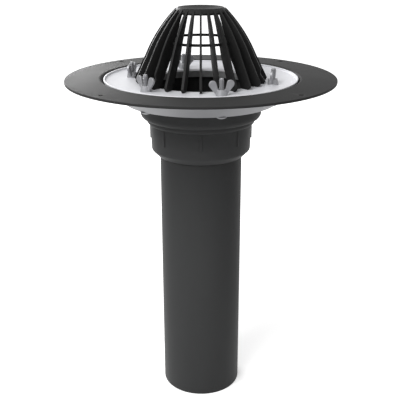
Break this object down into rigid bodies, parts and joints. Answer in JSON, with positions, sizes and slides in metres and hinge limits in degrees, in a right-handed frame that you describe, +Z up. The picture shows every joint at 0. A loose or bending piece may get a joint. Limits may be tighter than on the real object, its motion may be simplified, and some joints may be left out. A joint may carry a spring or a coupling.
{
  "type": "flat roof drain",
  "caption": "Flat roof drain: domed leaf guard on a metal clamp ring, round roof flange held by wing nuts, stepped plastic body with a ribbed cap and a long vertical outlet pipe.",
  "frame": {"origin": "centre of the outlet pipe's lower end, the lowest point of the part", "axes": "+Z up along the drain's axis, towards the leaf guard; the first wing nut stands 15 degrees round from -Y towards +X"},
  "size_m": [0.352, 0.352, 0.5406],
  "materials": {
    "guard_plastic": "gloss",
    "ring_steel": "semi-gloss",
    "flange_plastic": "satin",
    "seal_rubber": "matte",
    "dish_steel": "semi-gloss",
    "body_plastic": "satin",
    "cap_plastic": "satin",
    "pipe_plastic": "satin",
    "bolt_steel": "satin",
    "nut_steel": "satin"
  },
  "bodies": {
    "drain": {"leaf_guard": "guard_plastic", "clamp_ring": "ring_steel", "roof_flange": "flange_plastic", "flange_gasket": "seal_rubber", "support_dish": "dish_steel", "drain_body": "body_plastic", "seal_cap": "cap_plastic", "socket_seal": "seal_rubber", "outlet_pipe": "pipe_plastic", "carriage_bolts": "bolt_steel"},
    "wing_nut_1": {"wing_nut_1": "nut_steel"},
    "wing_nut_2": {"wing_nut_2": "nut_steel"},
    "wing_nut_3": {"wing_nut_3": "nut_steel"},
    "wing_nut_4": {"wing_nut_4": "nut_steel"},
    "wing_nut_5": {"wing_nut_5": "nut_steel"},
    "wing_nut_6": {"wing_nut_6": "nut_steel"}
  },
  "joints": [
    {"name": "wing_nut_1_turn", "type": "hinge", "parent": "drain", "child": "wing_nut_1", "pos_m": [0.02459, -0.09176, 0.4472], "axis": [0, 0, 1], "continuous": true},
    {"name": "wing_nut_2_turn", "type": "hinge", "parent": "drain", "child": "wing_nut_2", "pos_m": [0.09176, -0.02459, 0.4472], "axis": [0, 0, 1], "continuous": true},
    {"name": "wing_nut_3_turn", "type": "hinge", "parent": "drain", "child": "wing_nut_3", "pos_m": [0.06717, 0.06717, 0.4472], "axis": [0, 0, 1], "continuous": true},
    {"name": "wing_nut_4_turn", "type": "hinge", "parent": "drain", "child": "wing_nut_4", "pos_m": [-0.02459, 0.09176, 0.4472], "axis": [0, 0, 1], "continuous": true},
    {"name": "wing_nut_5_turn", "type": "hinge", "parent": "drain", "child": "wing_nut_5", "pos_m": [-0.09176, 0.02459, 0.4472], "axis": [0, 0, 1], "continuous": true},
    {"name": "wing_nut_6_turn", "type": "hinge", "parent": "drain", "child": "wing_nut_6", "pos_m": [-0.06717, -0.06717, 0.4472], "axis": [0, 0, 1], "continuous": true}
  ]
}
